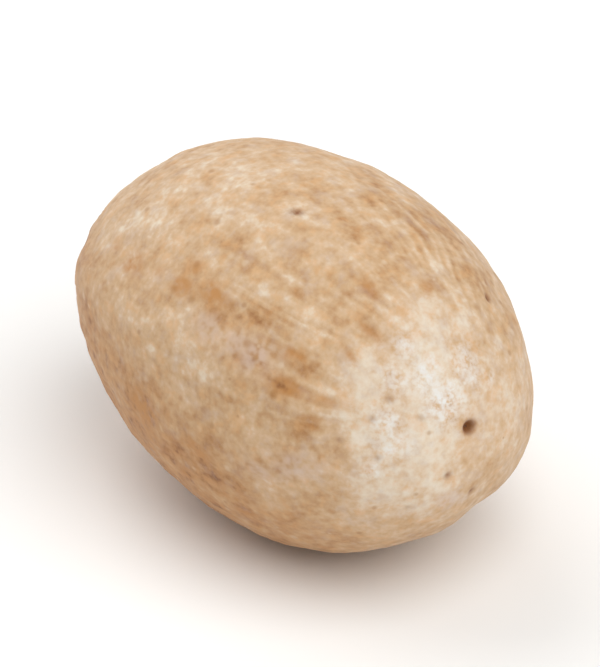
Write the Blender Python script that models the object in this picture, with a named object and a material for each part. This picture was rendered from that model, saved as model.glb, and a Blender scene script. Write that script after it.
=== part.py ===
"""Whole nutmeg: the dried seed kernel of the nutmeg tree, one solid, lying on its side.

The kernel is an egg, a little fuller at one end, whose two poles sit off its long axis, as
they do on the real seed. The chalaza, a small pit, is the pole at the +X end. The hilum, a
ringed scar with a nub, is the pole at the -X end. A shallow raphe furrow runs between them
down the far flank. Flats, swells and long low ridges make the egg uneven, and the underside
is worn flat where it rests.

Frame: +X towards the chalaza, +Z up, origin under the middle of the kernel on the ground.
"""

import math

import bpy
from mathutils import Matrix, Vector

MM = 0.001

# Driving dimensions of the kernel before its underside is worn flat.
LENGTH = 26.5 * MM
WIDTH = 18.4 * MM
HEIGHT = 17.8 * MM
FULLNESS = 0.035  # share by which the chalaza end is wider than an even egg
WEAR_DEPTH = 0.40 * MM  # height lost under the kernel, which leaves the resting spot

# Mesh density: meridians run from pole to pole, and rings go round the kernel.
MERIDIANS = 88
RINGS = 52
POLE_CROWDING = 0.25  # 0 spaces the rings evenly, and more draws them towards the poles

# Where each pole lies: degrees off the long axis, and the bearing it leans to, measured
# round +X from +Y towards +Z.
CHALAZA_LEAN = (11.3, 97.0)
HILUM_LEAN = (9.0, 235.0)

# The chalaza is a round pit in the middle of a shallow dip.
PIT_RADIUS = 0.50 * MM
PIT_DEPTH = 0.45 * MM
DIP_RADIUS = 1.90 * MM
DIP_DEPTH = 0.12 * MM

# The hilum is a nub inside a ring groove, with a raised lip round it.
NUB_RADIUS = 0.70 * MM
NUB_HEIGHT = 0.32 * MM
GROOVE_RADIUS = 1.35 * MM
GROOVE_DEPTH = 0.28 * MM
LIP_RADIUS = 2.10 * MM
LIP_HEIGHT = 0.16 * MM
RING_WIDTH = 0.50 * MM  # of the groove and of the lip

# The raphe furrow from pole to pole.
RAPHE_BEARING = 300.0
RAPHE_WANDER = 14.0  # degrees by which it snakes to either side of its bearing
RAPHE_HALF_WIDTH = 1.1 * MM
RAPHE_DEPTH = 0.32 * MM

# Long low ridges: (how many go round, phase in radians, twist from end to end, height).
RIDGES = (
    (3, 0.4, 0.8, 0.10 * MM),
    (5, 5.0, -1.1, 0.07 * MM),
    (8, 4.0, 0.6, 0.05 * MM),
    (13, 2.2, -0.9, 0.035 * MM),
)

# Flats where the kernel dried against its shell, and swells between them. Each is
# (degrees from the +X end, bearing round +X, depth inwards, reach in degrees).
FLATS = (
    (62.0, 16.0, 0.28 * MM, 26.0),
    (42.0, 325.0, -0.14 * MM, 20.0),
    (65.0, 248.0, -0.06 * MM, 30.0),
    (98.0, 217.0, 0.16 * MM, 34.0),
    (132.0, 165.0, -0.24 * MM, 26.0),
    (118.0, 198.0, 0.10 * MM, 24.0),
    (138.0, 118.0, 0.20 * MM, 30.0),
    (115.0, 68.0, -0.10 * MM, 34.0),
    (90.0, 45.0, -0.12 * MM, 26.0),
    (118.0, 325.0, 0.20 * MM, 28.0),
)

SKIN_COLOUR = (0.60, 0.42, 0.265, 1.0)
SKIN_ROUGHNESS = 0.62
SMOOTH_BELOW = 40.0  # degrees between two faces, over which their edge stays sharp


def clear_scene():
    """Remove whatever the file opened with, so that only the kernel is left."""
    for obj in list(bpy.data.objects):
        bpy.data.objects.remove(obj, do_unlink=True)


def new_collection(name):
    """Make a collection in the scene."""
    collection = bpy.data.collections.new(name)
    bpy.context.scene.collection.children.link(collection)
    return collection


def move_to(obj, collection):
    """Put an object in one collection only."""
    for owner in list(obj.users_collection):
        owner.objects.unlink(obj)
    collection.objects.link(obj)


def skin_material():
    """The dry, limed, pale brown skin of the kernel."""
    material = bpy.data.materials.new("dried_kernel_skin")
    material.use_nodes = True
    shader = material.node_tree.nodes["Principled BSDF"]
    shader.inputs["Base Color"].default_value = SKIN_COLOUR
    shader.inputs["Roughness"].default_value = SKIN_ROUGHNESS
    shader.inputs["Metallic"].default_value = 0.0
    return material


def bearing_vector(degrees):
    """Unit vector across the long axis at a bearing round +X."""
    angle = math.radians(degrees)
    return Vector((0.0, math.cos(angle), math.sin(angle)))


def direction(polar_degrees, bearing_degrees):
    """Unit vector at an angle from +X, leaning to a bearing."""
    polar = math.radians(polar_degrees)
    along = Vector((math.cos(polar), 0.0, 0.0))
    return along + math.sin(polar) * bearing_vector(bearing_degrees)


def bell(distance, reach):
    """1 at distance 0, falling smoothly to almost nothing past twice the reach."""
    return math.exp(-((distance / reach) ** 2))


def crowded(polar):
    """Polar angle with the rings drawn towards both poles."""
    return polar - POLE_CROWDING * math.sin(2.0 * polar)


def lean_poles(polar, around):
    """Direction from the kernel's middle for a point of the pole-to-pole grid.

    The grid's two poles are carried off the long axis to the chalaza and the hilum, and
    the grid between them bends along.
    """
    ray = direction(math.degrees(polar), math.degrees(around))
    leaning = ray.copy()
    for (degrees, bearing), share in (
        (CHALAZA_LEAN, (1.0 + ray.x) / 2.0),
        (HILUM_LEAN, (1.0 - ray.x) / 2.0),
    ):
        leaning += math.tan(math.radians(degrees)) * share**2 * bearing_vector(bearing)
    return leaning.normalized()


def egg_point(ray):
    """Point of the plain egg in a direction: an ellipsoid, fuller towards +X."""
    swell = 1.0 + FULLNESS * ray.x
    return Vector((LENGTH / 2 * ray.x, WIDTH / 2 * ray.y * swell, HEIGHT / 2 * ray.z * swell))


def egg_normal(egg):
    """Outward unit vector of the egg at one of its points."""
    return Vector(
        (egg.x / (LENGTH / 2) ** 2, egg.y / (WIDTH / 2) ** 2, egg.z / (HEIGHT / 2) ** 2)
    ).normalized()


def flats_offset(ray):
    """How far the flats and swells move the skin in a direction, as a vector."""
    moved = Vector((0.0, 0.0, 0.0))
    for polar, bearing, depth, reach in FLATS:
        middle = direction(polar, bearing)
        apart = math.degrees(ray.angle(middle, 0.0))
        moved -= depth * bell(apart, reach) * middle
    return moved


def ridge_height(polar, around):
    """Height of the long ridges, which fade out at both poles."""
    height = 0.0
    for count, phase, twist, tall in RIDGES:
        height += tall * math.cos(count * around + phase + twist * math.cos(polar))
    return height * math.sin(polar) ** 2


def raphe_height(polar, around):
    """Depth of the raphe furrow, as a negative height."""
    bearing = math.radians(RAPHE_BEARING - RAPHE_WANDER * math.sin(2.5 * polar))
    turn = math.remainder(around - bearing, 2.0 * math.pi)
    apart = abs(turn) * WIDTH / 2 * math.sin(polar)
    return -RAPHE_DEPTH * bell(apart, RAPHE_HALF_WIDTH) * math.sin(polar)


def chalaza_height(polar):
    """Depth of the pit and of the dip round it, as a negative height."""
    apart = polar * WIDTH / 2
    return -PIT_DEPTH * bell(apart, PIT_RADIUS) - DIP_DEPTH * bell(apart, DIP_RADIUS)


def hilum_height(polar):
    """Height of the nub, less the groove round it, and of the lip outside."""
    apart = (math.pi - polar) * WIDTH / 2
    nub = NUB_HEIGHT * bell(apart, NUB_RADIUS)
    groove = GROOVE_DEPTH * bell(apart - GROOVE_RADIUS, RING_WIDTH)
    lip = LIP_HEIGHT * bell(apart - LIP_RADIUS, RING_WIDTH)
    return nub - groove + lip


def skin_point(polar, around):
    """Point of the kernel's skin for a point of the pole-to-pole grid."""
    ray = lean_poles(polar, around)
    egg = egg_point(ray)
    height = ridge_height(polar, around) + raphe_height(polar, around)
    height += chalaza_height(polar) + hilum_height(polar)
    return egg + flats_offset(ray) + height * egg_normal(egg)


def make_kernel(collection, material):
    """Shape a sphere into the kernel.

    The sphere's axis is turned from Z to X, and each of its points goes where the skin is
    in that direction.
    """
    bpy.ops.mesh.primitive_uv_sphere_add(segments=MERIDIANS, ring_count=RINGS, radius=1.0)
    kernel = bpy.context.object
    kernel.name = "nutmeg"
    kernel.data.name = "nutmeg"
    for vertex in kernel.data.vertices:
        place = vertex.co.normalized()
        polar = crowded(math.acos(max(-1.0, min(1.0, place.z))))
        vertex.co = skin_point(polar, math.atan2(place.y, place.x))
    kernel.data.materials.append(material)
    move_to(kernel, collection)
    return kernel


def stand_on_ground(kernel):
    """Move the mesh so that its middle is over the origin and the wear plane is at z 0."""
    low = [min(vertex.co[i] for vertex in kernel.data.vertices) for i in range(3)]
    high = [max(vertex.co[i] for vertex in kernel.data.vertices) for i in range(3)]
    middle = Vector(((low[0] + high[0]) / 2, (low[1] + high[1]) / 2, low[2] + WEAR_DEPTH))
    kernel.data.transform(Matrix.Translation(-middle))


def wear_underside(kernel, cutters):
    """Cut the underside off along the ground with a block, which leaves the resting spot."""
    side = 2 * LENGTH
    bpy.ops.mesh.primitive_cube_add(size=side, location=(0.0, 0.0, -side / 2))
    block = bpy.context.object
    block.name = "ground_block"
    block.display_type = "WIRE"
    block.hide_render = True
    move_to(block, cutters)
    cut = kernel.modifiers.new("worn_underside", "BOOLEAN")
    cut.operation = "DIFFERENCE"
    cut.object = block


def main():
    """Build the kernel, round its shading and wear its underside flat."""
    clear_scene()
    nutmeg_parts = new_collection("nutmeg_parts")
    cutters = new_collection("cutters")
    kernel = make_kernel(nutmeg_parts, skin_material())
    stand_on_ground(kernel)
    kernel.data.shade_smooth()
    kernel.data.set_sharp_from_angle(angle=math.radians(SMOOTH_BELOW))
    wear_underside(kernel, cutters)


main()
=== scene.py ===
"""Looks of a whole nutmeg: a dried, limed seed kernel that lies on its side on a pale table.

The kernel is one closed skin. Its form is an egg with two poles off its long axis, the
chalaza's pit and the hilum's scar, and everything on the skin runs along the meridians
between them: furrows, streaks and the fine grain. Lengths in this file are millimetres
until a mesh is written, unless a name says otherwise.
"""

import logging
import math
from dataclasses import dataclass, field
from enum import Enum
from typing import Any

import bpy
import numpy as np
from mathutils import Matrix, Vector


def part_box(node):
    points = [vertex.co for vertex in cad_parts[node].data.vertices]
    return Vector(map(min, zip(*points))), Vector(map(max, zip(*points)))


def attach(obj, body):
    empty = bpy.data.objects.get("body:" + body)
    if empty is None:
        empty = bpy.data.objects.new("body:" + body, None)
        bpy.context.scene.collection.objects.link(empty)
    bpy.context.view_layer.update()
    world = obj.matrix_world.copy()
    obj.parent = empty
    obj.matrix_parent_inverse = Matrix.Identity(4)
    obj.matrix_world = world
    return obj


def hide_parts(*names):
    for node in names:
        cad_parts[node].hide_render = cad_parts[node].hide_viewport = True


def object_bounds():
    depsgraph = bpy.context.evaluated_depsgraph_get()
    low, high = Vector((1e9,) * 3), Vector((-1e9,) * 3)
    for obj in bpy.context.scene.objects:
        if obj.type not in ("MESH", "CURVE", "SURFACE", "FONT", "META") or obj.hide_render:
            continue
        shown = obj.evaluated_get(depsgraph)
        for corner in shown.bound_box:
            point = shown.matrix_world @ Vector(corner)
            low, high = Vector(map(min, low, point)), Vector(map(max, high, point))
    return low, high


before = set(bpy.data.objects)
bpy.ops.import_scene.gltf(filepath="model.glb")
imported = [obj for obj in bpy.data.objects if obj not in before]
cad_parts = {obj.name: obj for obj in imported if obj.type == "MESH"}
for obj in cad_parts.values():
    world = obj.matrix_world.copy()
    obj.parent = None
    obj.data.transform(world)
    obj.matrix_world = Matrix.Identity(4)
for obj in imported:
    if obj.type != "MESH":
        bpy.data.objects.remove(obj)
CAD_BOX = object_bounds()

LOG = logging.getLogger("nutmeg")
MM = 0.001
TURN = 2.0 * math.pi
GRAIN = "grain"

Array = np.ndarray


def linear_colour(hex_colour: str) -> tuple[float, float, float, float]:
    """Turn an sRGB hex colour to the linear colour that a shader takes.

    Each channel c is c / 12.92 up to 0.04045, and ((c + 0.055) / 1.055) ** 2.4 above.

    Args:
        hex_colour: The colour as "#RRGGBB".

    Returns:
        Linear red, green, blue and an alpha of 1.
    """
    channels = [int(hex_colour[i : i + 2], 16) / 255.0 for i in (1, 3, 5)]
    linear = [c / 12.92 if c <= 0.04045 else ((c + 0.055) / 1.055) ** 2.4 for c in channels]
    return (linear[0], linear[1], linear[2], 1.0)


def add_node(
    tree: bpy.types.NodeTree,
    kind: str,
    inputs: dict[str | int, Any] | None = None,
    **settings: Any,
) -> bpy.types.Node:
    """Add a shader node, with its settings, values and links.

    Args:
        tree: The node tree to add to.
        kind: The node's type name.
        inputs: A socket's name or index, and the value it holds or the output it reads.
        **settings: Properties of the node.

    Returns:
        The new node.
    """
    node = tree.nodes.new(kind)
    for name, value in settings.items():
        setattr(node, name, value)
    for socket, value in (inputs or {}).items():
        if isinstance(value, bpy.types.NodeSocket):
            tree.links.new(value, node.inputs[socket])
        else:
            node.inputs[socket].default_value = value
    return node


def bell(distance: Array, reach: float | Array) -> Array:
    """1 at distance 0, falling smoothly to almost nothing past twice the reach."""
    return np.exp(-((distance / reach) ** 2))


def smoothstep(low: float, high: float, value: Array) -> Array:
    """0 below low and 1 above high, with 3t^2 - 2t^3 between them."""
    share = np.clip((value - low) / (high - low), 0.0, 1.0)
    return share * share * (3.0 - 2.0 * share)


def wrapped(angle: Array) -> Array:
    """An angle in radians brought between minus and plus half a turn."""
    return (angle + math.pi) % TURN - math.pi


def unit(vectors: Array) -> Array:
    """Vectors divided by their lengths."""
    return vectors / np.linalg.norm(vectors, axis=-1, keepdims=True)


def bearing_vector(degrees: float) -> Array:
    """Unit vector across the long axis, at a bearing round +X from +Y towards +Z."""
    angle = math.radians(degrees)
    return np.array([0.0, math.cos(angle), math.sin(angle)])


class GradientNoise:
    """Smooth noise from random slopes at the points of a cubic lattice, one unit apart."""

    def __init__(self, seed: int) -> None:
        """Draw the order of the lattice and its slopes.

        Args:
            seed: The same seed gives the same noise.
        """
        draw = np.random.default_rng(seed)
        self.order = draw.permutation(256)
        self.slopes = unit(draw.normal(size=(256, 3)))

    def at(self, places: Array) -> Array:
        """Noise at some places, between about -1 and 1.

        The eight corners of a place's lattice cell each give slope . offset, weighted by
        6t^5 - 15t^4 + 10t^3 of the distance along each side, and the sum is doubled.

        Args:
            places: Positions, of shape (..., 3).

        Returns:
            The noise, of shape (...).
        """
        cell = np.floor(places).astype(np.int64)
        offset = places - cell
        fade = offset**3 * (offset * (offset * 6.0 - 15.0) + 10.0)
        total = np.zeros(places.shape[:-1])
        for corner in np.ndindex(2, 2, 2):
            step = np.array(corner)
            at = (cell + step) & 255
            slot = self.order[(self.order[(self.order[at[..., 0]] + at[..., 1]) & 255] + at[..., 2]) & 255]
            weight = np.prod(np.where(step == 1, fade, 1.0 - fade), axis=-1)
            total += weight * ((offset - step) * self.slopes[slot]).sum(axis=-1)
        return 2.0 * total

    def octaves(self, places: Array, count: int) -> Array:
        """Noise summed over octaves, each twice as fine and half as strong as the last."""
        return sum(0.5**i * self.at(places * 2.0**i + 17.3 * i) for i in range(count))


@dataclass(frozen=True)
class Lean:
    """Where a pole lies: degrees off the long axis, and the bearing it leans to."""

    degrees: float
    bearing: float


@dataclass(frozen=True)
class Ridge:
    """Long low ridges: how many go round, phase and twist in radians, and their height."""

    count: int
    phase: float
    twist: float
    height: float


@dataclass(frozen=True)
class Flat:
    """A flat, or with a negative depth a swell: degrees from +X, bearing, depth, reach."""

    polar: float
    bearing: float
    depth: float
    reach: float

    def middle(self) -> Array:
        """Unit vector from the kernel's middle to the flat's."""
        polar = math.radians(self.polar)
        return np.array([math.cos(polar), 0.0, 0.0]) + math.sin(polar) * bearing_vector(self.bearing)


@dataclass(frozen=True)
class KernelForm:
    """The kernel's form without its fine relief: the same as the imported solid's."""

    length: float = 26.5
    width: float = 18.4
    height: float = 17.8
    fullness: float = 0.035
    wear_depth: float = 0.40
    chalaza_lean: Lean = Lean(11.3, 97.0)
    hilum_lean: Lean = Lean(9.0, 235.0)
    raphe_bearing: float = 300.0
    raphe_wander: float = 14.0
    raphe_half_width: float = 1.1
    raphe_depth: float = 0.32
    nub_radius: float = 0.70
    nub_height: float = 0.32
    groove_radius: float = 1.35
    groove_depth: float = 0.28
    lip_radius: float = 2.10
    lip_height: float = 0.16
    ring_width: float = 0.50
    dip_radius: float = 1.90
    dip_depth: float = 0.12
    ridges: tuple[Ridge, ...] = (
        Ridge(3, 0.4, 0.8, 0.10),
        Ridge(5, 5.0, -1.1, 0.07),
        Ridge(8, 4.0, 0.6, 0.05),
        Ridge(13, 2.2, -0.9, 0.035),
    )
    flats: tuple[Flat, ...] = (
        Flat(62.0, 16.0, 0.28, 26.0),
        Flat(42.0, 325.0, -0.14, 20.0),
        Flat(65.0, 248.0, -0.06, 30.0),
        Flat(98.0, 217.0, 0.16, 34.0),
        Flat(132.0, 165.0, -0.24, 26.0),
        Flat(118.0, 198.0, 0.10, 24.0),
        Flat(138.0, 118.0, 0.20, 30.0),
        Flat(115.0, 68.0, -0.10, 34.0),
        Flat(90.0, 45.0, -0.12, 26.0),
        Flat(118.0, 325.0, 0.20, 28.0),
    )

    def rays(self, polar: Array, around: Array) -> Array:
        """Directions from the kernel's middle for the pole-to-pole grid.

        A plain sphere's directions, plus each pole's lean times the square of how far
        they point to its side, made unit length again.
        """
        ray = np.stack(
            [
                np.cos(polar) + 0.0 * around,
                np.sin(polar) * np.cos(around),
                np.sin(polar) * np.sin(around),
            ],
            axis=-1,
        )
        leaning = ray
        for lean, side in ((self.chalaza_lean, 1.0), (self.hilum_lean, -1.0)):
            share = (1.0 + side * ray[..., :1]) / 2.0
            leaning = leaning + math.tan(math.radians(lean.degrees)) * share**2 * bearing_vector(lean.bearing)
        return unit(leaning)

    def egg(self, ray: Array) -> tuple[Array, Array]:
        """The plain egg, an ellipsoid that is fuller towards +X.

        Args:
            ray: Unit directions from the middle.

        Returns:
            Its points, half sizes times the direction, and its outward unit vectors.
        """
        half = np.array([self.length, self.width, self.height]) / 2.0
        swell = 1.0 + self.fullness * ray[..., :1]
        points = half * ray * np.concatenate([np.ones_like(swell), swell, swell], axis=-1)
        return points, unit(points / half**2)

    def flats_offset(self, ray: Array) -> Array:
        """How far the flats and swells move the skin: depth times a bell of the angle to each."""
        moved = np.zeros_like(ray)
        for flat in self.flats:
            apart = np.degrees(np.arccos(np.clip(ray @ flat.middle(), -1.0, 1.0)))
            moved -= (flat.depth * bell(apart, flat.reach))[..., None] * flat.middle()
        return moved

    def ridge_height(self, polar: Array, around: Array) -> Array:
        """Cosines round the kernel that twist along it and fade as sin^2 at both poles."""
        height = sum(
            ridge.height * np.cos(ridge.count * around + ridge.phase + ridge.twist * np.cos(polar))
            for ridge in self.ridges
        )
        return height * np.sin(polar) ** 2

    def raphe_apart(self, polar: Array, around: Array) -> Array:
        """Distance across the skin from the raphe, which snakes along its bearing."""
        bearing = np.radians(self.raphe_bearing - self.raphe_wander * np.sin(2.5 * polar))
        return np.abs(wrapped(around - bearing)) * self.width / 2.0 * np.sin(polar)

    def hilum_height(self, polar: Array) -> Array:
        """A nub, less the ring groove round it, and the lip outside: bells of the distance."""
        apart = (math.pi - polar) * self.width / 2.0
        nub = self.nub_height * bell(apart, self.nub_radius)
        groove = self.groove_depth * bell(apart - self.groove_radius, self.ring_width)
        lip = self.lip_height * bell(apart - self.lip_radius, self.ring_width)
        return nub - groove + lip

    def surface(self, polar: Array, around: Array) -> tuple[Array, Array]:
        """The form's points and the outward unit vectors of its plain egg."""
        ray = self.rays(polar, around)
        egg, outward = self.egg(ray)
        height = self.ridge_height(polar, around) + self.hilum_height(polar)
        height = height - self.dip_depth * bell(polar * self.width / 2.0, self.dip_radius)
        apart = self.raphe_apart(polar, around)
        height = height - self.raphe_depth * bell(apart, self.raphe_half_width) * np.sin(polar)
        return egg + self.flats_offset(ray) + height[..., None] * outward, outward


@dataclass(frozen=True)
class Mark:
    """A small feature of the skin.

    Attributes:
        arc: How far it is from the chalaza's pit, along the skin.
        bearing: Where it is round the kernel, in degrees.
        along: Its half length along the meridians.
        across: Its half width.
        strength: How deep it is, or how strong its colour, from 0 to 1.
        turned: Degrees by which it is turned from the meridian.
    """

    arc: float
    bearing: float
    along: float
    across: float
    strength: float
    turned: float = 0.0


class Layer(Enum):
    """What the skin's attributes hold."""

    BLOOM = "bloom"
    FLECKS = "flecks"
    PALE = "pale"
    # The worn and stain layers also hold painted shade on the underside and lower left flank.
    WORN_AND_PAINTED_SHADE = "worn"
    STAIN_AND_PAINTED_SHADE = "stain"
    DUST = "dust"
    LINES = "lines"
    FURROW = "furrow"
    PORE = "pore"
    PIT = "pit"
    TIP = "tip"


@dataclass
class Kernel:
    """The nutmeg itself: one closed skin on a grid of rings and meridians."""

    form: KernelForm = KernelForm()
    meridians: int = 440
    rings: int = 221
    pit_radius: float = 0.34
    pit_depth: float = 0.36
    wear_rounding: float = 0.10
    grain_radius: float = 9.0
    furrow_depth: float = 0.05
    wrinkle_height: float = 0.022
    pebble_height: float = 0.010
    bloom: tuple[Mark, ...] = (
        Mark(3.4, 116.0, 3.3, 3.4, 1.00),
        Mark(2.6, 190.0, 3.2, 3.0, 1.00),
        Mark(5.6, 146.0, 1.8, 2.4, 1.00),
        Mark(4.6, 176.0, 1.8, 2.2, 1.00),
        Mark(6.0, 94.0, 1.8, 2.0, 0.95),
        Mark(4.7, 208.0, 2.3, 2.4, 1.00),
        Mark(6.2, 218.0, 2.0, 2.2, 0.60),
        Mark(7.3, 88.0, 1.5, 1.8, 0.45),
        Mark(5.0, 78.0, 1.6, 1.8, 0.80),
        Mark(1.6, 20.0, 3.4, 3.2, 0.75),
        Mark(4.5, 237.0, 1.5, 1.5, 0.60),
        Mark(6.8, 109.0, 1.2, 1.2, 0.75),
    )
    flecks: tuple[Mark, ...] = (
        Mark(2.1, 122.0, 0.95, 1.05, 1.00),
        Mark(3.7, 115.0, 0.70, 0.90, 0.80),
        Mark(3.0, 76.0, 1.00, 0.85, 0.60),
        Mark(5.4, 112.0, 0.65, 0.55, 0.52),
        Mark(4.8, 132.0, 0.75, 0.65, 0.50),
        Mark(4.4, 160.0, 0.65, 0.55, 0.80),
        Mark(3.9, 176.0, 0.85, 0.75, 0.55),
        Mark(5.0, 192.0, 0.50, 0.45, 0.50),
        Mark(2.6, 45.0, 0.35, 0.30, 0.45),
    )
    pale: tuple[Mark, ...] = (
        Mark(20.6, 103.0, 3.9, 3.1, 0.40),
        Mark(22.7, 122.0, 2.8, 2.7, 0.36),
        Mark(22.7, 129.0, 0.40, 0.40, 0.45),
        Mark(15.5, 161.0, 2.6, 1.8, 0.34),
        Mark(20.5, 160.0, 2.4, 1.6, 0.26),
        Mark(12.9, 131.0, 2.2, 0.20, 0.40),
        Mark(10.2, 131.0, 2.0, 0.24, 0.50),
        Mark(9.1, 113.0, 0.40, 0.80, 0.30),
        Mark(11.0, 140.0, 1.6, 0.20, 0.35),
        Mark(7.7, 146.0, 1.1, 1.1, 0.30),
        Mark(10.4, 203.0, 1.5, 1.3, 0.32),
        Mark(12.4, 104.0, 1.6, 1.3, 0.22),
        Mark(12.9, 119.0, 1.3, 1.1, 0.24),
        Mark(10.7, 121.0, 0.9, 0.9, 0.24),
        Mark(19.2, 122.0, 1.6, 1.3, 0.34),
        Mark(6.4, 168.0, 0.8, 0.8, 0.30),
        Mark(8.3, 120.5, 0.5, 0.5, 0.20),
    )
    worn: tuple[Mark, ...] = (
        Mark(11.0, 151.0, 1.60, 1.30, 0.44),
        Mark(10.9, 155.5, 1.00, 0.50, 0.50),
        Mark(10.0, 144.0, 0.85, 0.42, 0.95, 6.0),
        Mark(8.8, 146.0, 0.55, 0.28, 0.75, 6.0),
        Mark(9.8, 156.0, 1.20, 0.42, 1.00, -6.0),
        Mark(7.6, 157.0, 0.95, 0.24, 0.65),
        Mark(6.3, 157.0, 0.60, 0.20, 0.40),
        Mark(8.1, 168.0, 0.50, 0.40, 0.85),
        Mark(8.7, 175.0, 0.90, 0.60, 0.65),
        Mark(6.5, 181.0, 0.55, 0.42, 0.60),
        Mark(7.5, 119.0, 0.90, 0.22, 0.80, -5.0),
        Mark(7.5, 132.5, 0.75, 0.20, 0.80, -24.0),
        Mark(8.9, 133.0, 0.30, 0.28, 0.55),
        Mark(9.2, 105.0, 0.75, 0.28, 0.70, -20.0),
        Mark(7.8, 82.0, 0.45, 0.36, 0.60),
        Mark(14.8, 141.0, 1.20, 0.70, 0.45),
        Mark(13.0, 135.5, 0.95, 0.60, 0.50),
        Mark(11.0, 135.5, 0.85, 0.36, 0.45),
        Mark(11.5, 68.0, 1.70, 0.24, 0.55),
        Mark(11.6, 78.5, 0.50, 0.40, 0.45),
        Mark(14.6, 78.0, 0.50, 0.40, 0.60),
        Mark(15.9, 66.0, 0.50, 0.50, 0.60),
        Mark(13.7, 90.0, 1.40, 0.42, 0.45),
        Mark(17.2, 99.0, 0.60, 0.80, 0.40),
        Mark(15.7, 123.0, 1.20, 0.50, 0.40),
        Mark(20.8, 108.0, 0.35, 0.38, 0.50),
        Mark(25.4, 98.5, 0.30, 0.26, 0.50),
        Mark(17.3, 175.5, 0.35, 0.32, 0.60),
        Mark(14.6, 190.5, 0.50, 0.45, 0.90),
        Mark(18.7, 186.0, 0.90, 0.70, 0.90),
        Mark(7.0, 210.0, 1.10, 1.00, 0.50),
        Mark(13.0, 200.0, 1.00, 0.70, 0.55),
        Mark(7.6, 184.0, 1.00, 0.80, 0.34),
        Mark(13.6, 154.0, 1.20, 1.00, 0.30),
        Mark(16.0, 139.0, 1.10, 0.90, 0.30),
        Mark(7.5, 44.0, 0.26, 0.20, 1.00),
    )
    stains: tuple[Mark, ...] = (
        Mark(0.0, 0.0, 0.46, 0.46, 1.00),
        Mark(22.1, 139.0, 0.90, 0.65, 0.80),
        Mark(24.0, 136.0, 0.60, 0.50, 0.55),
        Mark(19.7, 138.5, 0.50, 0.45, 0.50),
        Mark(17.9, 139.0, 0.75, 0.50, 1.00),
        Mark(17.9, 132.0, 0.50, 0.45, 0.65),
        Mark(16.0, 136.5, 0.90, 0.60, 0.95),
        Mark(10.0, 144.0, 0.70, 0.40, 0.80),
        Mark(9.8, 156.0, 1.00, 0.45, 0.80),
        Mark(8.1, 168.0, 0.45, 0.38, 1.00),
        Mark(14.6, 190.0, 0.60, 0.50, 1.00),
        Mark(18.7, 186.0, 0.90, 0.75, 0.80),
        Mark(7.5, 119.0, 0.75, 0.20, 0.65, -5.0),
        Mark(7.6, 132.5, 0.65, 0.18, 0.65, -24.0),
        Mark(7.6, 157.0, 0.85, 0.22, 0.60),
        Mark(9.2, 105.0, 0.60, 0.26, 0.60, -20.0),
        Mark(7.8, 82.0, 0.45, 0.34, 0.50),
    )
    dusty: tuple[Mark, ...] = (
        Mark(15.0, 147.0, 1.10, 0.65, 0.80),
        Mark(13.3, 148.0, 1.00, 0.60, 0.80),
        Mark(12.0, 149.0, 1.10, 0.75, 1.00),
        Mark(8.6, 187.0, 1.40, 0.65, 0.95),
        Mark(10.5, 191.0, 1.00, 0.60, 0.70),
        Mark(3.8, 252.0, 0.60, 1.00, 0.80),
    )
    pores: tuple[Mark, ...] = (
        Mark(15.7, 100.0, 0.34, 0.20, 1.0, 40.0),
        Mark(2.4, 236.0, 0.20, 0.19, 0.75),
        Mark(3.6, 271.0, 0.18, 0.18, 0.85),
        Mark(7.5, 44.0, 0.22, 0.17, 0.85),
        Mark(4.6, 146.0, 0.22, 0.18, 0.40),
        Mark(2.8, 152.0, 0.20, 0.16, 0.35),
        Mark(5.0, 160.0, 0.17, 0.17, 0.45),
        Mark(4.8, 186.0, 0.20, 0.17, 0.45),
        Mark(6.5, 174.0, 0.18, 0.17, 0.45),
        Mark(4.7, 228.0, 0.15, 0.14, 0.35),
    )
    lined: tuple[Mark, ...] = (
        Mark(11.0, 66.0, 4.6, 2.6, 1.0),
        Mark(11.5, 130.0, 3.8, 2.4, 0.80),
        Mark(8.0, 158.0, 3.0, 2.2, 0.80),
        Mark(8.6, 108.0, 2.6, 2.0, 0.60),
    )
    layers: dict[Layer, Array] = field(default_factory=dict)

    def __post_init__(self) -> None:
        """Lay the grid and work out the form on it."""
        self.around = np.linspace(0.0, TURN, self.meridians, endpoint=False)[None, :]
        self.polar = self.ring_places()[:, None]
        self.skin, self.outward = self.form.surface(self.polar, self.around)
        steps = np.linalg.norm(np.diff(self.skin, axis=0), axis=-1).mean(axis=1)
        self.arc = np.concatenate([[0.0], np.cumsum(steps)])[:, None]
        self.ring = np.linalg.norm(self.skin - self.skin.mean(axis=1, keepdims=True), axis=-1).mean(axis=1)[:, None]
        self.meridian_way = unit(np.gradient(self.skin, axis=0) + 1e-12)

    def ring_places(self) -> Array:
        """Polar angles of the rings, both poles included.

        Rings are spread by a density of 1 between the poles, more at the hilum and most
        at the chalaza, whose pit is the smallest feature.
        """
        fine = np.linspace(0.0, math.pi, 4001)
        density = 1.0 + 2.6 * bell(fine, 0.16) + 0.9 * bell(math.pi - fine, 0.35)
        share = np.concatenate([[0.0], np.cumsum((density[1:] + density[:-1]) / 2.0)])
        return np.interp(np.linspace(0.0, share[-1], self.rings + 2), share, fine)

    def apart(self, mark: Mark) -> Array:
        """Distance from a mark's middle, in its own half lengths.

        The offset in space is split along the meridian, across it and outwards, and the
        first two are divided by the half length and half width.
        """
        row = int(np.abs(self.arc[:, 0] - mark.arc).argmin())
        column = int(round(mark.bearing / 360.0 * self.meridians)) % self.meridians
        offset = self.skin - self.skin[row, column]
        outward = self.outward[row, column]
        along_way = self.meridian_way[row, column]
        across_way = np.cross(outward, along_way)
        turn = math.radians(mark.turned)
        along = offset @ (math.cos(turn) * along_way + math.sin(turn) * across_way)
        across = offset @ (math.cos(turn) * across_way - math.sin(turn) * along_way)
        return np.sqrt((along / mark.along) ** 2 + (across / mark.across) ** 2 + (offset @ outward) ** 2 / 9.0)

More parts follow.
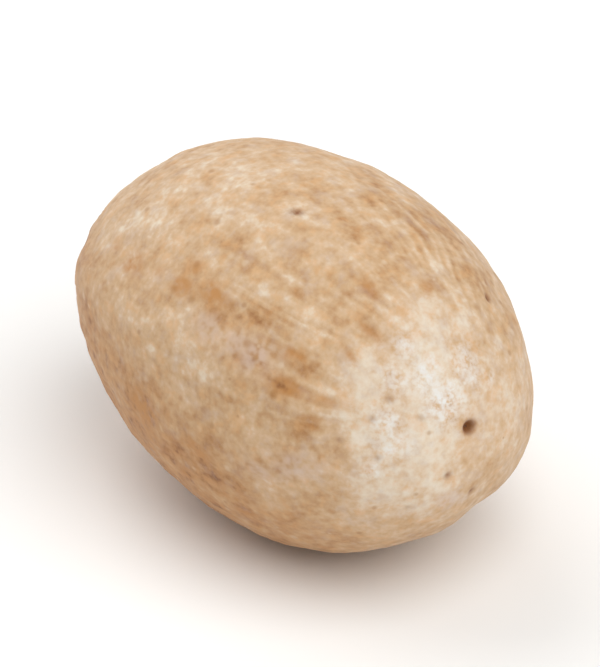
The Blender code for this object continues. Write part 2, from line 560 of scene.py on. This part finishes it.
    def marked(self, marks: tuple[Mark, ...], power: float = 2.0) -> Array:
        """The strongest of some marks at each point: strength times exp(-apart^power)."""
        total = np.zeros(self.skin.shape[:2])
        for mark in marks:
            total = np.maximum(total, mark.strength * np.exp(-self.apart(mark) ** power))
        return total

    def grain_places(self, radius: float | Array, width: float, length: float, sway: float | Array) -> Array:
        """Lattice places for noise that is drawn out along the meridians.

        The kernel is unrolled onto a cylinder: (radius cos a / width, radius sin a /
        width, arc / length), with a the angle round the kernel plus a sway.
        """
        angle = self.around + sway
        return np.stack(
            [
                radius * np.cos(angle) / width,
                radius * np.sin(angle) / width,
                self.arc / length + 0.0 * angle,
            ],
            axis=-1,
        )

    def along_grain(self, seed: int, width: float, length: float) -> Array:
        """Noise about width across and length along the meridians, all over the skin.

        The ring round the kernel shrinks towards the poles, so the cylinder's radius is
        halved each time the ring's is. Neighbouring cylinders are blended, and the sum is
        divided by the root of the squared weights to keep its strength.
        """
        noise = GradientNoise(seed)
        sway = 0.10 * GradientNoise(seed + 1).at(self.skin / 4.5)
        level = np.clip(np.log2(self.ring / self.grain_radius + 1e-9), -4.0, 0.0)
        total = np.zeros(self.skin.shape[:2])
        weights = np.zeros(self.skin.shape[:2])
        for step in range(-4, 1):
            weight = smoothstep(0.0, 1.0, 1.0 - np.abs(level - step))
            places = self.grain_places(self.grain_radius * 2.0**step, width, length, sway)
            total += weight * noise.at(places + 31.7 * (step + 5))
            weights += weight**2
        return total / np.sqrt(weights)

    def creases(self, seed: int, width: float, length: float, sharpness: float) -> Array:
        """Thin branching lines along the grain: a bell of the noise round its zero."""
        return bell(self.along_grain(seed, width, length), sharpness)

    def hidden_share(self) -> Array:
        """0 on the smooth limed flank, rising to 1 on the flank and end turned away from it."""
        smooth_side = unit(np.array([0.62, -0.50, 0.60]))
        facing = unit(self.skin) @ smooth_side
        return 1.0 - smoothstep(-0.55, 0.25, facing)

    def scattered(self, seed: int, count: int, size: float, strength: float) -> tuple[Mark, ...]:
        """Marks at random places on the flank and end turned away from the limed side.

        Args:
            seed: The same seed gives the same marks.
            count: How many places are tried; those on the limed side are left out.
            size: Their mean half width.
            strength: Their greatest strength.
        """
        draw = np.random.default_rng(seed)
        hidden = self.hidden_share()
        marks = []
        for arc, bearing, share, stretch, wide in draw.uniform(size=(count, 5)):
            row = int(np.abs(self.arc[:, 0] - self.arc[-1, 0] * (0.08 + 0.86 * arc)).argmin())
            column = int(bearing * self.meridians) % self.meridians
            if hidden[row, column] > 0.5:
                across = size * (0.5 + wide)
                place = (float(self.arc[row, 0]), 360.0 * bearing)
                marks.append(Mark(*place, across * (1.0 + 2.0 * stretch), across, strength * (0.4 + 0.6 * share)))
        return tuple(marks)

    def paint(self) -> None:
        """Work out the layers that the finish reads."""
        hidden = self.hidden_share()
        clouds = GradientNoise(11).octaves(self.skin / 0.9, 3)
        flecks = GradientNoise(13).octaves(self.skin / 0.45, 2)
        bloom = self.marked(self.bloom) * (1.0 + 0.22 * clouds + 0.20 * flecks)
        self.layers[Layer.BLOOM] = smoothstep(0.03, 1.08, bloom)
        thick = 0.80 * self.marked(self.flecks) + 0.13 * self.layers[Layer.BLOOM]
        self.layers[Layer.FLECKS] = np.clip(thick * (1.0 + 0.4 * flecks), 0.0, 1.0)
        self.layers[Layer.PALE] = np.clip(self.marked(self.pale, 3.0) * (0.9 + 0.3 * clouds), 0.0, 1.0)
        worn = np.maximum(1.1 * self.marked(self.worn, 3.0), self.marked(self.scattered(71, 60, 0.55, 0.8)))
        # Painted shade: faces turned down and towards -X and -Y (the underside and the lower left flank as the camera
        # sees it) get less lime and a browner colour, by their direction alone.
        painted_shade_low_flank = smoothstep(0.25, 0.90, self.outward @ unit(np.array([-0.48, -0.60, -0.62])))
        # The worn layer takes that painted shade in full, plus browner wear on the hidden flank and end.
        rubbed_and_painted_shade = 1.0 * painted_shade_low_flank + 0.25 * smoothstep(0.5, 1.0, hidden)
        self.layers[Layer.WORN_AND_PAINTED_SHADE] = np.clip(worn * (1.0 + 0.5 * flecks) + rubbed_and_painted_shade * (1.0 + 0.5 * clouds), 0.0, 1.2)
        stains = np.maximum(self.marked(self.stains), self.marked(self.scattered(73, 40, 0.9, 0.8)))
        # The stain layer takes part of the same painted shade as well as its stains.
        self.layers[Layer.STAIN_AND_PAINTED_SHADE] = np.clip((stains + 0.55 * painted_shade_low_flank) * (1.0 + 0.8 * flecks), 0.0, 1.0)
        dusty = np.maximum(self.marked(self.dusty), self.marked(self.scattered(79, 26, 1.1, 0.9)))
        self.layers[Layer.DUST] = np.clip(dusty * (1.0 + 0.6 * clouds), 0.0, 1.0)
        lined = 0.12 + 0.88 * self.marked(self.lined)
        clear = smoothstep(2.2, 4.6, self.ring)
        self.layers[Layer.LINES] = lined * clear * np.clip(self.along_grain(37, 0.40, 6.0) * 1.25, -1.0, 1.0)
        self.layers[Layer.PORE] = np.maximum(self.marked(self.pores), self.marked(self.scattered(83, 46, 0.13, 0.8)))
        from_pit = np.where(self.polar < 1.0, self.ring + 0.0 * self.around, 99.0)
        self.layers[Layer.PIT] = np.exp(-((from_pit / (1.12 * self.pit_radius)) ** 4))
        self.layers[Layer.TIP] = 1.0 - smoothstep(2.2, 5.0, self.ring + 0.0 * self.around)

    def relief(self) -> Array:
        """Height of the fine relief over the form."""
        hidden = self.hidden_share()
        wide = self.creases(41, 1.7, 8.5, 0.10)
        narrow = self.creases(43, 0.75, 4.0, 0.13)
        furrows = np.maximum(wide, 0.6 * narrow) * np.clip(np.sin(self.polar), 0.0, 1.0)
        self.layers[Layer.FURROW] = np.clip(furrows * (0.20 + 0.80 * hidden), 0.0, 1.0)
        height = -self.furrow_depth * (0.35 + 1.7 * hidden) * furrows
        wrinkled = (0.4 + 1.3 * hidden) * (0.25 + 0.75 * smoothstep(1.6, 4.0, self.ring))
        height = height + self.wrinkle_height * wrinkled * self.along_grain(47, 0.55, 2.6)
        height = height + self.pebble_height * GradientNoise(53).octaves(self.skin / 0.42, 2)
        height = height + 0.065 * GradientNoise(59).at(self.skin / 2.6)
        height = height + 0.024 * GradientNoise(61).at(self.skin / 1.1)
        height = height + 0.016 * self.layers[Layer.LINES]
        # The worn layer, painted shade included, also sinks the skin a little.
        height = height - 0.030 * self.layers[Layer.WORN_AND_PAINTED_SHADE] + 0.015 * self.layers[Layer.FLECKS]
        height = height - 0.10 * self.layers[Layer.PORE]
        return height - self.pit_depth * np.exp(-((self.ring / self.pit_radius) ** 3)) * (self.polar < 1.0)

    def placed(self) -> Array:
        """The skin with its relief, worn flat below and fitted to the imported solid's box, in metres.

        A height z under the kernel becomes (z + sqrt(z^2 + rounding^2)) / 2, which is z
        well above the ground and 0 below it.
        """
        skin = self.skin + self.relief()[..., None] * self.outward
        low, high = self.skin.min(axis=(0, 1)), self.skin.max(axis=(0, 1))
        ground = np.array([(low[0] + high[0]) / 2.0, (low[1] + high[1]) / 2.0, low[2] + self.form.wear_depth])
        skin = skin - ground
        skin[..., 2] = (skin[..., 2] + np.sqrt(skin[..., 2] ** 2 + self.wear_rounding**2)) / 2.0
        low, high = skin.min(axis=(0, 1)), skin.max(axis=(0, 1))
        box_low, box_high = (np.array(corner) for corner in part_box("nutmeg"))
        return box_low + (skin - low) / (high - low) * (box_high - box_low)

    def faces(self) -> list[tuple[int, ...]]:
        """Quads between neighbouring rings, and a fan of triangles round each pole."""
        count = self.meridians
        column = np.arange(count)
        following = (column + 1) % count
        first = 1 + count * np.arange(self.rings - 1)[:, None]
        quads = np.stack([first + column, first + following, first + count + following, first + count + column], axis=-1)
        last = 1 + count * (self.rings - 1)
        top = np.stack([np.zeros_like(column), following + 1, column + 1], axis=-1)
        bottom = np.stack([np.full_like(column, last + count), last + column, last + following], axis=-1)
        return top.tolist() + quads.reshape(-1, 4)[:, ::-1].tolist() + bottom.tolist()

    def flat_list(self, values: Array) -> Array:
        """A grid of values as one list: the first pole, each ring in turn, the last pole."""
        rest = values.shape[2:]
        rings = values[1:-1].reshape((-1, *rest))
        return np.concatenate([values[:1, 0], rings, values[-1:, 0]])

    def build(self) -> bpy.types.Object:
        """Make the kernel's mesh, with its layers as attributes.

        Returns:
            The kernel, at its place on the ground.
        """
        self.paint()
        points = self.flat_list(self.placed())
        mesh = bpy.data.meshes.new("kernel_skin")
        mesh.from_pydata(points.tolist(), [], self.faces())
        for layer, values in self.layers.items():
            attribute = mesh.attributes.new(layer.value, "FLOAT", "POINT")
            attribute.data.foreach_set("value", self.flat_list(values).astype(np.float32))
        sway = 0.06 * GradientNoise(67).at(self.skin / 5.0)
        grain = self.flat_list(self.grain_places(self.grain_radius, 1.0, 1.0, sway))
        attribute = mesh.attributes.new(GRAIN, "FLOAT_VECTOR", "POINT")
        attribute.data.foreach_set("vector", grain.astype(np.float32).ravel())
        mesh.shade_smooth()
        mesh.validate()
        kernel = bpy.data.objects.new("nutmeg_kernel", mesh)
        bpy.context.scene.collection.objects.link(kernel)
        return kernel


class Pattern(Enum):
    """Patterns in the skin, each named for what it shows."""

    PATCHES = "patches"
    MOTTLE = "mottle"
    DASHES = "dashes"
    SPECKLE = "speckle"
    POWDER = "powder"
    WARMTH = "warmth"
    SPOTS = "spots"
    GLINTS = "glints"


@dataclass(frozen=True)
class PatternUse:
    """A pattern's size, and what it does.

    Attributes:
        across: Millimetres across one blotch.
        stretch: How many times longer it is along the grain; 0 is a pattern with no grain.
        octaves: How many finer copies are laid over it.
        rough: How strong each finer copy is.
        cover: How much of the lime cover it adds or takes away.
        bump: Its height in millimetres.
    """

    across: float
    stretch: float
    octaves: float
    rough: float
    cover: float
    bump: float


@dataclass(frozen=True)
class Tint:
    """A colour laid over the skin where a pattern goes from one value to another.

    It is laid within a layer, or with None all over the skin.
    """

    colour: str
    within: Layer | None
    strength: float
    pattern: Pattern
    low: float = -1.0
    high: float = 0.0


@dataclass(frozen=True)
class LimedSkin:
    """Dried seed skin, matt and woody, with lime worked into it after drying.

    The colour goes by how thick the lime lies: bare skin is brown, thin lime leaves it
    tan, and thick lime is a cream bloom that is nearly white at its thickest.
    """

    cover: float = 0.50
    cover_colours: tuple[tuple[float, str], ...] = (
        (0.00, "#6C3E18"),
        (0.15, "#99673A"),
        (0.29, "#B08458"),
        (0.41, "#BE986F"),
        (0.51, "#C7A57F"),
        (0.61, "#CFB190"),
        (0.73, "#DAC7AE"),
        (0.86, "#E2D5C3"),
        (1.00, "#E3E1DE"),
    )
    bloom_cover: float = 0.83
    bloom_evenness: float = 0.68
    layer_cover: tuple[tuple[Layer, float], ...] = (
        (Layer.PALE, 0.30),
        # Lower cover on the worn layer also browns the painted shade on the underside and lower left flank.
        (Layer.WORN_AND_PAINTED_SHADE, -0.22),
        (Layer.LINES, 0.17),
        (Layer.FURROW, -0.14),
    )
    roughness: float = 0.72
    ior: float = 1.45
    sheen: float = 0.10
    sheen_roughness: float = 0.5
    uses: dict[Pattern, PatternUse] = field(
        default_factory=lambda: {
            Pattern.PATCHES: PatternUse(1.5, 0.0, 2.0, 0.55, 0.60, 0.0),
            Pattern.MOTTLE: PatternUse(0.46, 0.0, 1.0, 0.50, 0.42, 0.012),
            Pattern.DASHES: PatternUse(0.26, 2.6, 1.0, 0.50, 0.04, 0.003),
            Pattern.SPECKLE: PatternUse(0.17, 0.0, 1.0, 0.55, 0.15, 0.005),
            Pattern.POWDER: PatternUse(0.07, 0.0, 2.0, 0.60, 0.06, 0.003),
            Pattern.WARMTH: PatternUse(0.85, 0.0, 3.0, 0.65, 0.00, 0.0),
        }
    )
    dot_spacing: tuple[tuple[Pattern, float], ...] = ((Pattern.SPOTS, 1.4), (Pattern.GLINTS, 1.2))
    tints: tuple[Tint, ...] = (
        Tint("#D8A46C", None, 0.34, Pattern.WARMTH, 0.50, 0.70),
        Tint("#BBA89E", None, 0.26, Pattern.WARMTH, 0.50, 0.30),
        # This brown tint also lies over the painted shade on the underside and lower left flank.
        Tint("#B9834A", Layer.STAIN_AND_PAINTED_SHADE, 0.95, Pattern.MOTTLE, 0.20, 0.52),
        Tint("#CAB1A1", Layer.DUST, 0.66, Pattern.MOTTLE, 0.24, 0.58),
        Tint("#E4E4E2", Layer.FLECKS, 0.62, Pattern.SPECKLE, 0.34, 0.60),
        Tint("#E2E4E4", Layer.FLECKS, 0.58, Pattern.MOTTLE, 0.34, 0.66),
        Tint("#A0703F", None, 0.46, Pattern.SPOTS, 0.28, 0.06),
        Tint("#DDCBB2", None, 0.30, Pattern.GLINTS, 0.30, 0.08),
        Tint("#7E4C28", Layer.PORE, 1.00, Pattern.POWDER),
        Tint("#74420F", Layer.PIT, 1.00, Pattern.POWDER),
    )

    def patterns(self, tree: bpy.types.NodeTree) -> dict[Pattern, bpy.types.NodeSocket]:
        """Add a noise for each pattern, and cells for the dots.

        One along the grain reads the unrolled grain on the flanks. Its lines would meet in
        a star at a pole, so there it blends into the same noise without a grain, which
        reads the kernel's own coordinates. A dot is where the distance from its cell's
        middle is small against the cell's random shade, so that dots differ in size.
        """
        place = add_node(tree, "ShaderNodeTexCoord").outputs["Object"]
        grain = add_node(tree, "ShaderNodeAttribute", attribute_name=GRAIN).outputs["Vector"]
        tip = add_node(tree, "ShaderNodeAttribute", attribute_name=Layer.TIP.value).outputs["Fac"]
        found = {}
        for pattern, use in self.uses.items():
            look = {"Detail": use.octaves, "Roughness": use.rough}
            plain = {"Vector": place, "Scale": 1.0 / (use.across * MM), **look}
            found[pattern] = add_node(tree, "ShaderNodeTexNoise", plain).outputs["Fac"]
            if use.stretch:
                squeeze = {0: grain, 1: (1.0, 1.0, 1.0 / use.stretch)}
                vector = add_node(tree, "ShaderNodeVectorMath", squeeze, operation="MULTIPLY").outputs[0]
                drawn = {"Vector": vector, "Scale": 1.0 / use.across, **look}
                noise = add_node(tree, "ShaderNodeTexNoise", drawn).outputs["Fac"]
                mix = {0: tip, 2: noise, 3: found[pattern]}
                found[pattern] = add_node(tree, "ShaderNodeMix", mix, data_type="FLOAT").outputs[0]
        for pattern, spacing in self.dot_spacing:
            cells = add_node(tree, "ShaderNodeTexVoronoi", {"Vector": place, "Scale": 1.0 / (spacing * MM)})
            apart = {0: cells.outputs["Distance"], 1: cells.outputs["Color"]}
            found[pattern] = add_node(tree, "ShaderNodeMath", apart, operation="DIVIDE").outputs[0]
        return found

    def ramp(self, tree: bpy.types.NodeTree, cover: bpy.types.NodeSocket) -> bpy.types.NodeSocket:
        """Turn the lime cover to a colour."""
        ramp = add_node(tree, "ShaderNodeValToRGB", {0: cover})
        stops = ramp.color_ramp.elements
        while len(stops) < len(self.cover_colours):
            stops.new(0.5)
        for stop, (place, colour) in zip(stops, self.cover_colours):
            stop.position = place
            stop.color = linear_colour(colour)
        return ramp.outputs["Color"]

    def material(self) -> bpy.types.Material:
        """Build the finish: the lime cover's colour, the tints over it, and the patterns as bump."""
        material = bpy.data.materials.new("limed_seed_skin")
        material.use_nodes = True
        tree = material.node_tree
        tree.nodes.clear()
        patterns = self.patterns(tree)
        layers = {
            layer: add_node(tree, "ShaderNodeAttribute", attribute_name=layer.value).outputs["Fac"]
            for layer in Layer
        }
        cover: Any = self.cover - sum(use.cover for use in self.uses.values()) / 2.0
        steps = [(patterns[pattern], use.cover) for pattern, use in self.uses.items() if use.cover]
        steps += [(layers[layer], share) for layer, share in self.layer_cover]
        for source, share in steps:
            cover = add_node(tree, "ShaderNodeMath", {0: source, 1: share, 2: cover}, operation="MULTIPLY_ADD").outputs[0]
        even = add_node(tree, "ShaderNodeMath", {0: layers[Layer.BLOOM], 1: self.bloom_evenness}, operation="MULTIPLY").outputs[0]
        cover = add_node(tree, "ShaderNodeMix", {0: even, 2: cover, 3: self.bloom_cover}, data_type="FLOAT").outputs[0]
        colour = self.ramp(tree, cover)
        for tint in self.tints:
            between = {"Value": patterns[tint.pattern], "From Min": tint.low, "From Max": tint.high}
            mask = add_node(tree, "ShaderNodeMapRange", between, interpolation_type="SMOOTHSTEP").outputs[0]
            mask = add_node(tree, "ShaderNodeMath", {0: mask, 1: tint.strength}, operation="MULTIPLY").outputs[0]
            if tint.within:
                mask = add_node(tree, "ShaderNodeMath", {0: mask, 1: layers[tint.within]}, operation="MULTIPLY").outputs[0]
            mix = {0: mask, 6: colour, 7: linear_colour(tint.colour)}
            colour = add_node(tree, "ShaderNodeMix", mix, data_type="RGBA").outputs[2]
        height: Any = 0.0
        for pattern, use in self.uses.items():
            if use.bump:
                step = {0: patterns[pattern], 1: use.bump, 2: height}
                height = add_node(tree, "ShaderNodeMath", step, operation="MULTIPLY_ADD").outputs[0]
        bump = add_node(tree, "ShaderNodeBump", {"Height": height, "Distance": MM, "Strength": 1.0})
        shader = add_node(
            tree,
            "ShaderNodeBsdfPrincipled",
            {
                "Base Color": colour,
                "Roughness": self.roughness,
                "IOR": self.ior,
                "Sheen Weight": self.sheen,
                "Sheen Roughness": self.sheen_roughness,
                "Normal": bump.outputs["Normal"],
            },
        )
        add_node(tree, "ShaderNodeOutputMaterial", {"Surface": shader.outputs[0]})
        return material


@dataclass(frozen=True)
class PaperFinish:
    """Matt white paper: even, bright and without gloss."""

    colour: str = "#F6F5F3"
    roughness: float = 0.9

    def material(self) -> bpy.types.Material:
        """Build the finish."""
        material = bpy.data.materials.new("matt_white_paper")
        material.use_nodes = True
        shader = material.node_tree.nodes["Principled BSDF"]
        shader.inputs["Base Color"].default_value = linear_colour(self.colour)
        shader.inputs["Roughness"].default_value = self.roughness
        return material


@dataclass(frozen=True)
class Lamp:
    """A far, soft light, even all over the table.

    Attributes:
        name: The light's name.
        azimuth: The side it is on, in degrees.
        elevation: How high it stands, in degrees.
        width: How wide it looks from the kernel, in degrees.
        strength: Its light on a face turned to it, in watts on a square metre.
        colour: Its colour.
    """

    name: str
    azimuth: float
    elevation: float
    width: float
    strength: float
    colour: str = "#FFFFFF"


@dataclass
class Studio:
    """The pale table, the soft lights and the camera."""

    table_side: float = 6.0
    camera_azimuth: float = 51.0
    camera_elevation: float = 33.0
    camera_distance: float = 0.33
    frame_width: float = 0.0288
    frame_shape: tuple[int, int] = (600, 667)
    lamp_distance: float = 3.0
    sky: str = "#FFFFFF"
    sky_strength: float = 0.40
    horizon_strength: float = 1.0
    horizon_height: float = 0.09
    lamps: tuple[Lamp, ...] = (
        Lamp("right_softbox", 96.0, 58.0, 62.0, 1.98),
        Lamp("back_softbox", 276.0, 40.0, 60.0, 1.38),
    )

    def place(self, azimuth: float, elevation: float, distance: float) -> Vector:
        """A point round the kernel's middle; azimuth 0 is on the -Y side and 90 on the +X side."""
        low, high = CAD_BOX
        turn, rise = math.radians(azimuth), math.radians(elevation)
        back = Vector((math.sin(turn) * math.cos(rise), -math.cos(turn) * math.cos(rise), math.sin(rise)))
        return (low + high) / 2.0 + distance * back

    def aim(self, obj: bpy.types.Object, place: Vector) -> None:
        """Put a light or a camera at a place, facing the kernel's middle."""
        low, high = CAD_BOX
        obj.location = place
        obj.rotation_euler = ((low + high) / 2.0 - place).to_track_quat("-Z", "Y").to_euler()

    def table(self) -> bpy.types.Object:
        """Make the table top: a flat grid at height 0."""
        steps = np.linspace(-self.table_side / 2.0, self.table_side / 2.0, 9)
        across, along = np.meshgrid(steps, steps, indexing="ij")
        points = np.stack([across, along, np.zeros_like(across)], axis=-1).reshape(-1, 3)
        count = len(steps)
        corner = (np.arange(count - 1)[:, None] * count + np.arange(count - 1)).ravel()
        faces = np.stack([corner, corner + count, corner + count + 1, corner + 1], axis=-1)
        mesh = bpy.data.meshes.new("table_top")
        mesh.from_pydata(points.tolist(), [], faces.tolist())
        mesh.materials.append(PaperFinish().material())
        table = bpy.data.objects.new("table_top", mesh)
        bpy.context.scene.collection.objects.link(table)
        return table

    def light(self) -> None:
        """Make the lights, and the even light from all round.

        The sky is a little brighter in a low band just over the table's edge, so that the
        table runs into it without a line.
        """
        for lamp in self.lamps:
            data = bpy.data.lights.new(lamp.name, "SUN")
            data.angle = math.radians(lamp.width)
            data.energy = lamp.strength
            data.color = linear_colour(lamp.colour)[:3]
            light = bpy.data.objects.new(lamp.name, data)
            bpy.context.scene.collection.objects.link(light)
            self.aim(light, self.place(lamp.azimuth, lamp.elevation, self.lamp_distance))
        world = bpy.data.worlds.new("soft_sky")
        world.use_nodes = True
        tree = world.node_tree
        way = add_node(tree, "ShaderNodeTexCoord").outputs["Generated"]
        height = add_node(tree, "ShaderNodeSeparateXYZ", {0: way}).outputs["Z"]
        band = {
            "Value": height,
            "From Min": 0.0,
            "From Max": self.horizon_height,
            "To Min": self.horizon_strength,
            "To Max": self.sky_strength,
        }
        strength = add_node(tree, "ShaderNodeMapRange", band, interpolation_type="SMOOTHSTEP").outputs[0]
        background = tree.nodes["Background"]
        background.inputs["Color"].default_value = linear_colour(self.sky)
        tree.links.new(strength, background.inputs["Strength"])
        bpy.context.scene.world = world

    def camera(self) -> bpy.types.Object:
        """Make the camera. Its lens takes in the frame's width at the kernel's distance."""
        data = bpy.data.cameras.new("camera")
        width, height = self.frame_shape
        long_side = self.frame_width * max(width, height) / width
        data.lens = data.sensor_width * self.camera_distance / long_side
        data.clip_start = self.camera_distance / 50.0
        camera = bpy.data.objects.new("camera", data)
        bpy.context.scene.collection.objects.link(camera)
        self.aim(camera, self.place(self.camera_azimuth, self.camera_elevation, self.camera_distance))
        bpy.context.scene.camera = camera
        return camera


def main() -> None:
    """Build the kernel, dress it and set it on its table."""
    logging.basicConfig(level=logging.INFO, format="%(name)s: %(message)s")
    bpy.context.scene.view_settings.view_transform = "Standard"
    kernel = Kernel().build()
    kernel.data.materials.append(LimedSkin().material())
    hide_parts("nutmeg")
    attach(kernel, "root")
    LOG.info("kernel: %d faces", len(kernel.data.polygons))
    studio = Studio()
    studio.table()
    studio.light()
    studio.camera()
    LOG.info("table, lights and camera are in place")


if __name__ == "__main__":
    main()
